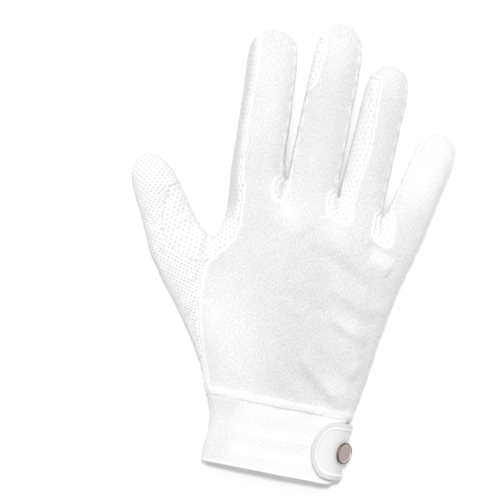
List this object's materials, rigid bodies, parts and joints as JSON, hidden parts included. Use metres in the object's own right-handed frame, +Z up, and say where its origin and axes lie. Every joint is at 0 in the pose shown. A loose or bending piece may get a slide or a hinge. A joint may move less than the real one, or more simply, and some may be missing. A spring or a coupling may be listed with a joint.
{
  "type": "picot glove",
  "caption": "White cotton riding glove for the right hand with dotted grip palm, set-in thumb, elastic cuff and a tab closed by a press button, lying on its palm.",
  "frame": {"origin": "middle of the bounding box, on the surface that the palm lies on", "axes": "+Y from the cuff to the tip of the middle finger, +X from the thumb's side to the little finger's, +Z up through the back of the hand"},
  "size_m": [0.1578, 0.228, 0.0197],
  "materials": {
    "cotton_jersey": "soft knitted cotton with fine ribs along the hand",
    "dotted_cotton": "knitted cotton with small raised grip dots",
    "woven_elastic": "woven elastic with a herringbone weave",
    "lacquered_steel": "lacquered cap with a rolled rim"
  },
  "bodies": {
    "root": {"back_panel": "cotton_jersey", "palm_panel": "dotted_cotton", "fourchette_index_middle": "dotted_cotton", "fourchette_middle_ring": "dotted_cotton", "fourchette_ring_little": "dotted_cotton", "thumb": "dotted_cotton", "thumb_gusset": "dotted_cotton", "cuff_band": "woven_elastic", "closure_tab": "woven_elastic", "press_button": "lacquered_steel", "press_stud": "lacquered_steel"}
  },
  "joints": []
}
